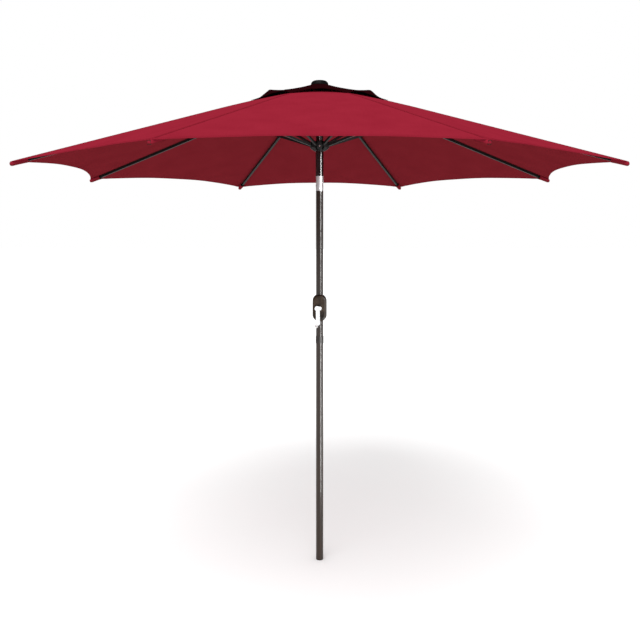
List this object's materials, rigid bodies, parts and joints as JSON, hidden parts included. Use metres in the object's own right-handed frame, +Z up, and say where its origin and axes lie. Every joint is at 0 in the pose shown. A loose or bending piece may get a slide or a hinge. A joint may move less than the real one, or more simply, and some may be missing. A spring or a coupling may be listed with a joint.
{
  "type": "market umbrella",
  "caption": "Garden market umbrella on a two-piece pole: ribs and struts under a cloth canopy with a wind vent, crank lift, push-button tilt. No base.",
  "frame": {"origin": "centre of the pole's lower end, on the face of its plug", "axes": "+Z up along the pole, -Y towards the front, where the crank is, +X the way the canopy tilts"},
  "size_m": [2.7808, 2.7808, 2.5146],
  "materials": {
    "pole_paint": "powder coat, dark bronze, satin",
    "pole_dark_paint": "powder coat, near black",
    "rib_paint": "powder coat, near black, satin",
    "housing_plastic": "moulded, bronze, satin",
    "collar_plastic": "moulded, dark bronze",
    "black_plastic": "moulded, black",
    "black_gloss": "moulded, black, glossy",
    "white_plastic": "moulded, off-white",
    "knob_plastic": "moulded, white",
    "crank_silver": "die cast, bright silver",
    "knuckle_alloy": "die cast, brushed silver",
    "bright_steel": "bright",
    "spring_steel": "dark steel",
    "cord": "braided, off-white",
    "canopy_cloth": "woven polyester, dark red"
  },
  "bodies": {
    "lower_pole": {"lower_pole": "pole_paint", "pole_end_plug": "black_plastic", "pole_collar": "collar_plastic"},
    "crank_pole": {"crank_pole": "pole_paint", "housing_front": "housing_plastic", "housing_rear": "housing_plastic", "housing_screws": "bright_steel", "shaft_bushings": "white_plastic", "brake_spring": "spring_steel", "lift_cord_lower": "cord", "tilt_lower_knuckle": "knuckle_alloy", "tilt_pin": "bright_steel", "button_spring": "spring_steel"},
    "tilt_button": {"tilt_button": "knuckle_alloy"},
    "crank": {"crank_shaft": "bright_steel", "cord_drum": "white_plastic", "cord_winding": "cord", "crank_arm": "crank_silver", "knob_rivet": "bright_steel"},
    "crank_knob": {"crank_knob": "knob_plastic"},
    "canopy_pole": {"tilt_upper_knuckle": "knuckle_alloy", "tilt_sleeve": "black_gloss", "canopy_pole": "pole_dark_paint", "crown": "black_plastic", "crown_pins": "bright_steel", "pulley_pin": "bright_steel", "finial": "black_gloss", "vent_canopy": "canopy_cloth", "lift_cord_upper": "cord", "lift_cord_drop": "cord"},
    "cord_pulley": {"cord_pulley": "white_plastic"},
    "runner": {"runner": "black_gloss", "cord_anchor": "bright_steel"},
    "rib_1": {"rib_1": "rib_paint"},
    "rib_2": {"rib_2": "rib_paint"},
    "rib_3": {"rib_3": "rib_paint"},
    "rib_4": {"rib_4": "rib_paint"},
    "rib_5": {"rib_5": "rib_paint"},
    "rib_6": {"rib_6": "rib_paint"},
    "rib_7": {"rib_7": "rib_paint"},
    "rib_8": {"rib_8": "rib_paint"},
    "strut_1": {"strut_1": "rib_paint"},
    "strut_2": {"strut_2": "rib_paint"},
    "strut_3": {"strut_3": "rib_paint"},
    "strut_4": {"strut_4": "rib_paint"},
    "strut_5": {"strut_5": "rib_paint"},
    "strut_6": {"strut_6": "rib_paint"},
    "strut_7": {"strut_7": "rib_paint"},
    "strut_8": {"strut_8": "rib_paint"},
    "panel_1": {"canopy_panel_1": "canopy_cloth"},
    "panel_2": {"canopy_panel_2": "canopy_cloth"},
    "panel_3": {"canopy_panel_3": "canopy_cloth"},
    "panel_4": {"canopy_panel_4": "canopy_cloth"},
    "panel_5": {"canopy_panel_5": "canopy_cloth"},
    "panel_6": {"canopy_panel_6": "canopy_cloth"},
    "panel_7": {"canopy_panel_7": "canopy_cloth"},
    "panel_8": {"canopy_panel_8": "canopy_cloth"}
  },
  "joints": [
    {"name": "pole_pull_apart", "type": "slide", "parent": "lower_pole", "child": "crank_pole", "axis": [0, 0, 1], "range_m": [0, 0.12]},
    {"name": "tilt", "type": "hinge", "parent": "crank_pole", "child": "canopy_pole", "pos_m": [0.015, 0, 1.986], "axis": [0, 1, 0], "range_deg": [0, 35]},
    {"name": "tilt_button_press", "type": "slide", "parent": "crank_pole", "child": "tilt_button", "axis": [1, 0, 0], "range_m": [0, 0.004], "stiffness_N_per_m": 500, "springref_m": -0.004, "deforming": ["button_spring"]},
    {"name": "canopy_fold", "type": "hinge", "parent": "canopy_pole", "child": "rib_1", "pos_m": [0.03141, 0.01301, 2.474], "axis": [0.3827, -0.9239, 0], "range_deg": [-70, 0], "deforming": ["canopy_panel_1", "canopy_panel_2", "canopy_panel_3", "canopy_panel_4", "canopy_panel_5", "canopy_panel_6", "canopy_panel_7", "canopy_panel_8", "vent_canopy", "lift_cord_drop"]},
    {"name": "rib_2_hinge", "type": "hinge", "parent": "canopy_pole", "child": "rib_2", "pos_m": [0.01301, 0.03141, 2.474], "axis": [0.9239, -0.3827, 0], "range_deg": [-70, 0]},
    {"name": "rib_3_hinge", "type": "hinge", "parent": "canopy_pole", "child": "rib_3", "pos_m": [-0.01301, 0.03141, 2.474], "axis": [0.9239, 0.3827, 0], "range_deg": [-70, 0]},
    {"name": "rib_4_hinge", "type": "hinge", "parent": "canopy_pole", "child": "rib_4", "pos_m": [-0.03141, 0.01301, 2.474], "axis": [0.3827, 0.9239, 0], "range_deg": [-70, 0]},
    {"name": "rib_5_hinge", "type": "hinge", "parent": "canopy_pole", "child": "rib_5", "pos_m": [-0.03141, -0.01301, 2.474], "axis": [-0.3827, 0.9239, 0], "range_deg": [-70, 0]},
    {"name": "rib_6_hinge", "type": "hinge", "parent": "canopy_pole", "child": "rib_6", "pos_m": [-0.01301, -0.03141, 2.474], "axis": [-0.9239, 0.3827, 0], "range_deg": [-70, 0]},
    {"name": "rib_7_hinge", "type": "hinge", "parent": "canopy_pole", "child": "rib_7", "pos_m": [0.01301, -0.03141, 2.474], "axis": [-0.9239, -0.3827, 0], "range_deg": [-70, 0]},
    {"name": "rib_8_hinge", "type": "hinge", "parent": "canopy_pole", "child": "rib_8", "pos_m": [0.03141, -0.01301, 2.474], "axis": [-0.3827, -0.9239, 0], "range_deg": [-70, 0]},
    {"name": "strut_1_hinge", "type": "hinge", "parent": "rib_1", "child": "strut_1", "pos_m": [0.46182, 0.19129, 2.32214], "axis": [0.3827, -0.9239, 0], "range_deg": [0, 140]},
    {"name": "strut_2_hinge", "type": "hinge", "parent": "rib_2", "child": "strut_2", "pos_m": [0.19129, 0.46182, 2.32214], "axis": [0.9239, -0.3827, 0], "range_deg": [0, 140]},
    {"name": "strut_3_hinge", "type": "hinge", "parent": "rib_3", "child": "strut_3", "pos_m": [-0.19129, 0.46182, 2.32214], "axis": [0.9239, 0.3827, 0], "range_deg": [0, 140]},
    {"name": "strut_4_hinge", "type": "hinge", "parent": "rib_4", "child": "strut_4", "pos_m": [-0.46182, 0.19129, 2.32214], "axis": [0.3827, 0.9239, 0], "range_deg": [0, 140]},
    {"name": "strut_5_hinge", "type": "hinge", "parent": "rib_5", "child": "strut_5", "pos_m": [-0.46182, -0.19129, 2.32214], "axis": [-0.3827, 0.9239, 0], "range_deg": [0, 140]},
    {"name": "strut_6_hinge", "type": "hinge", "parent": "rib_6", "child": "strut_6", "pos_m": [-0.19129, -0.46182, 2.32214], "axis": [-0.9239, 0.3827, 0], "range_deg": [0, 140]},
    {"name": "strut_7_hinge", "type": "hinge", "parent": "rib_7", "child": "strut_7", "pos_m": [0.19129, -0.46182, 2.32214], "axis": [-0.9239, -0.3827, 0], "range_deg": [0, 140]},
    {"name": "strut_8_hinge", "type": "hinge", "parent": "rib_8", "child": "strut_8", "pos_m": [0.46182, -0.19129, 2.32214], "axis": [-0.3827, -0.9239, 0], "range_deg": [0, 140]},
    {"name": "panel_1_hinge", "type": "hinge", "parent": "canopy_pole", "child": "panel_1", "pos_m": [0.03141, 0, 2.474], "axis": [0, -1, 0], "range_deg": [-70, 0]},
    {"name": "panel_2_hinge", "type": "hinge", "parent": "canopy_pole", "child": "panel_2", "pos_m": [0.02221, 0.02221, 2.474], "axis": [0.7071, -0.7071, 0], "range_deg": [-70, 0]},
    {"name": "panel_3_hinge", "type": "hinge", "parent": "canopy_pole", "child": "panel_3", "pos_m": [0, 0.03141, 2.474], "axis": [1, 0, 0], "range_deg": [-70, 0]},
    {"name": "panel_4_hinge", "type": "hinge", "parent": "canopy_pole", "child": "panel_4", "pos_m": [-0.02221, 0.02221, 2.474], "axis": [0.7071, 0.7071, 0], "range_deg": [-70, 0]},
    {"name": "panel_5_hinge", "type": "hinge", "parent": "canopy_pole", "child": "panel_5", "pos_m": [-0.03141, 0, 2.474], "axis": [0, 1, 0], "range_deg": [-70, 0]},
    {"name": "panel_6_hinge", "type": "hinge", "parent": "canopy_pole", "child": "panel_6", "pos_m": [-0.02221, -0.02221, 2.474], "axis": [-0.7071, 0.7071, 0], "range_deg": [-70, 0]},
    {"name": "panel_7_hinge", "type": "hinge", "parent": "canopy_pole", "child": "panel_7", "pos_m": [0, -0.03141, 2.474], "axis": [-1, 0, 0], "range_deg": [-70, 0]},
    {"name": "panel_8_hinge", "type": "hinge", "parent": "canopy_pole", "child": "panel_8", "pos_m": [0.02221, -0.02221, 2.474], "axis": [-0.7071, -0.7071, 0], "range_deg": [-70, 0]},
    {"name": "runner_slide", "type": "slide", "parent": "canopy_pole", "child": "runner", "axis": [0, 0, 1], "range_m": [-0.67573, 0]},
    {"name": "pulley_turn", "type": "hinge", "parent": "canopy_pole", "child": "cord_pulley", "pos_m": [0, -0.01275, 2.434], "axis": [1, 0, 0], "range_deg": [0, 3037.5]},
    {"name": "crank_turn", "type": "hinge", "parent": "crank_pole", "child": "crank", "pos_m": [0, 0, 1.323], "axis": [0, 1, 0], "range_deg": [-4681, 0]},
    {"name": "knob_spin", "type": "hinge", "parent": "crank", "child": "crank_knob", "pos_m": [-0.01695, -0.07, 1.23156], "axis": [0, 1, 0], "continuous": true}
  ],
  "couplings": [
    {"joint": "rib_2_hinge", "follows": "canopy_fold", "ratio": 1},
    {"joint": "rib_3_hinge", "follows": "canopy_fold", "ratio": 1},
    {"joint": "rib_4_hinge", "follows": "canopy_fold", "ratio": 1},
    {"joint": "rib_5_hinge", "follows": "canopy_fold", "ratio": 1},
    {"joint": "rib_6_hinge", "follows": "canopy_fold", "ratio": 1},
    {"joint": "rib_7_hinge", "follows": "canopy_fold", "ratio": 1},
    {"joint": "rib_8_hinge", "follows": "canopy_fold", "ratio": 1},
    {"joint": "strut_1_hinge", "follows": "canopy_fold", "ratio": -2},
    {"joint": "strut_2_hinge", "follows": "canopy_fold", "ratio": -2},
    {"joint": "strut_3_hinge", "follows": "canopy_fold", "ratio": -2},
    {"joint": "strut_4_hinge", "follows": "canopy_fold", "ratio": -2},
    {"joint": "strut_5_hinge", "follows": "canopy_fold", "ratio": -2},
    {"joint": "strut_6_hinge", "follows": "canopy_fold", "ratio": -2},
    {"joint": "strut_7_hinge", "follows": "canopy_fold", "ratio": -2},
    {"joint": "strut_8_hinge", "follows": "canopy_fold", "ratio": -2},
    {"joint": "panel_1_hinge", "follows": "canopy_fold", "ratio": 0.975},
    {"joint": "panel_2_hinge", "follows": "canopy_fold", "ratio": 0.975},
    {"joint": "panel_3_hinge", "follows": "canopy_fold", "ratio": 0.975},
    {"joint": "panel_4_hinge", "follows": "canopy_fold", "ratio": 0.975},
    {"joint": "panel_5_hinge", "follows": "canopy_fold", "ratio": 0.975},
    {"joint": "panel_6_hinge", "follows": "canopy_fold", "ratio": 0.975},
    {"joint": "panel_7_hinge", "follows": "canopy_fold", "ratio": 0.975},
    {"joint": "panel_8_hinge", "follows": "canopy_fold", "ratio": 0.975},
    {"joint": "runner_slide", "follows": "canopy_fold", "m_per_rad": 0.55308},
    {"joint": "pulley_turn", "follows": "canopy_fold", "ratio": -43.379},
    {"joint": "crank_turn", "follows": "canopy_fold", "ratio": 66.857}
  ]
}
